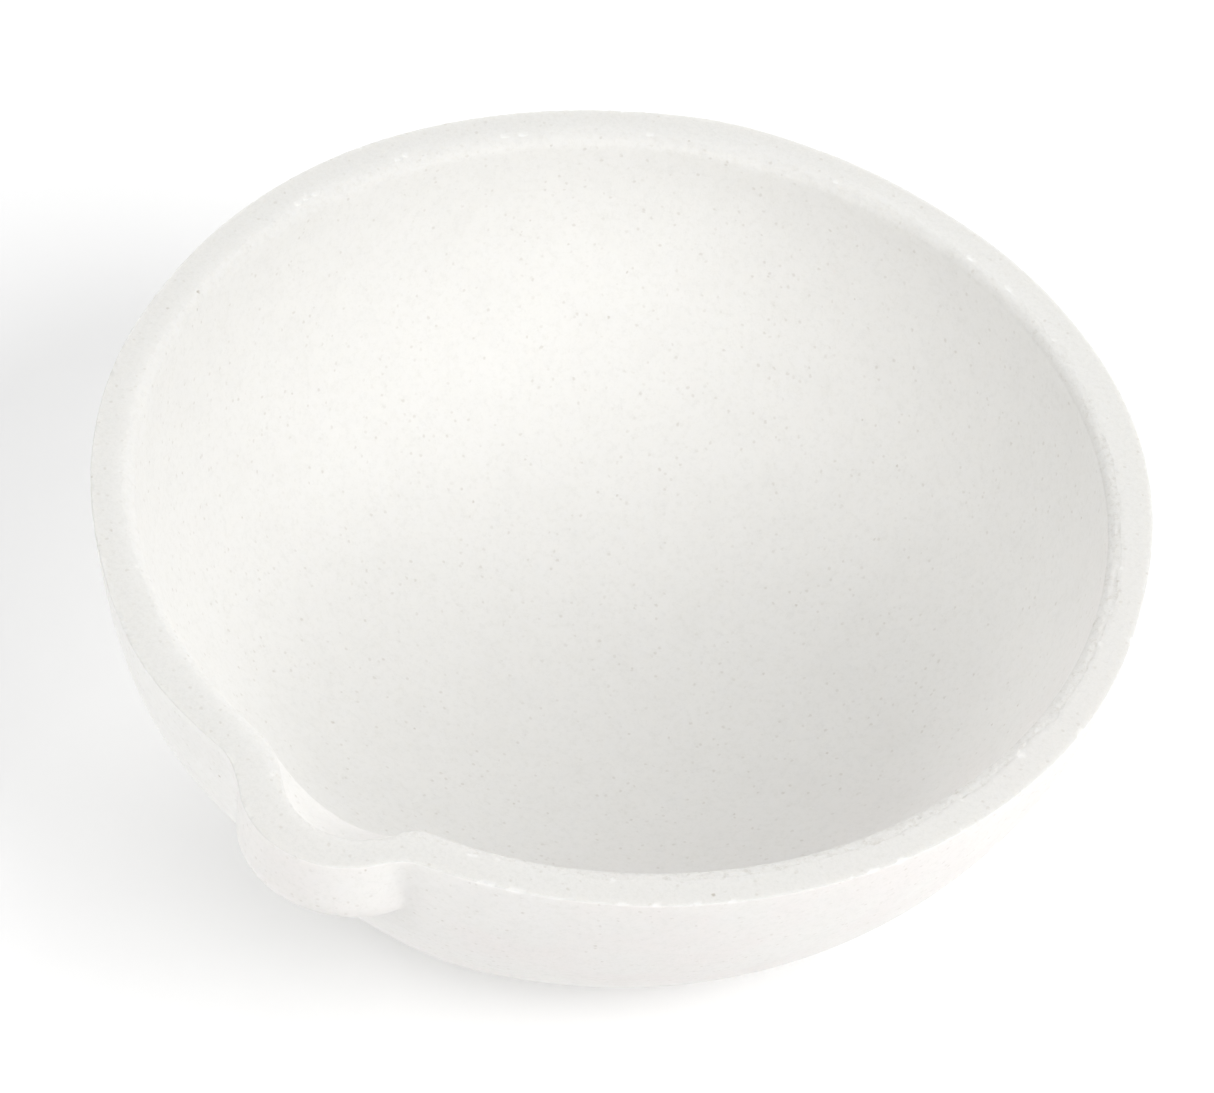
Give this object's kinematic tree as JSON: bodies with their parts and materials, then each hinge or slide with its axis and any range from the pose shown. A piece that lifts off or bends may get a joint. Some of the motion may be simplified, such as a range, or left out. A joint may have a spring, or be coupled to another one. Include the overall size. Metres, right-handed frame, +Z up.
{
  "type": "melting dish with pouring spout",
  "caption": "Round white fused-silica melting dish with an even wall, a ground flat rim, a small flat foot and a short closed pouring spout.",
  "frame": {"origin": "centre of the flat foot, on the surface that the dish stands on", "axes": "+Z up along the bowl's axis, -Y from the bowl's axis through the pouring spout"},
  "size_m": [0.105, 0.1103, 0.042],
  "materials": {
    "fused_silica": "matt white, fine grey-brown specks, ground rim with small glassy chips"
  },
  "bodies": {
    "root": {"dish": "fused_silica"}
  },
  "joints": []
}
